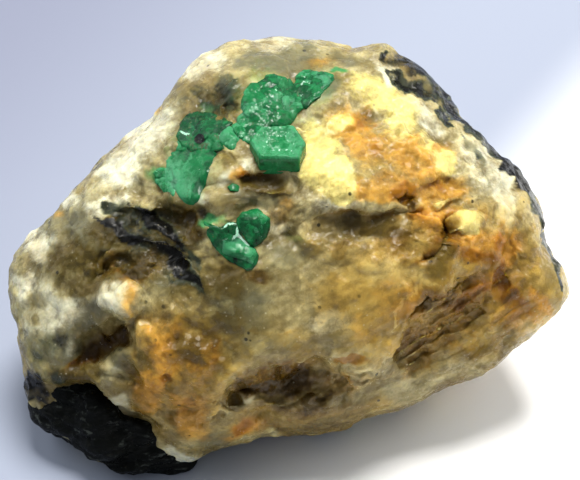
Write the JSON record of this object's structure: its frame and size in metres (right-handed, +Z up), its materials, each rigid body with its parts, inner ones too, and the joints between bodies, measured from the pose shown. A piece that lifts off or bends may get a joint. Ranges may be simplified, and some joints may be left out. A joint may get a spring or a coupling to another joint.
{
  "type": "emerald in matrix",
  "caption": "Rough emerald crystals set in a broken piece of quartz and feldspar rock with a dark schist corner, resting on its flat underside.",
  "frame": {"origin": "on the surface it rests on, under the middle of the stone's box", "axes": "+Z up, +X along the stone's length towards its pointed end, the face with the emeralds looks up and towards -Y"},
  "size_m": [0.0519, 0.0345, 0.0305],
  "materials": {
    "quartz_matrix": "waxy translucent quartz and feldspar with iron stains",
    "schist": "glossy black mica schist",
    "emerald": "glassy translucent green"
  },
  "bodies": {
    "root": {"matrix": "quartz_matrix", "schist_knob": "schist", "emerald_hexagonal_crystal": "emerald", "emerald_upper_cluster": "emerald", "emerald_top_right_cluster": "emerald", "emerald_left_band": "emerald", "emerald_pale_grain": "emerald", "emerald_left_blade": "emerald", "emerald_lower_prism": "emerald", "emerald_lower_grains": "emerald", "emerald_speck": "emerald"}
  },
  "joints": []
}
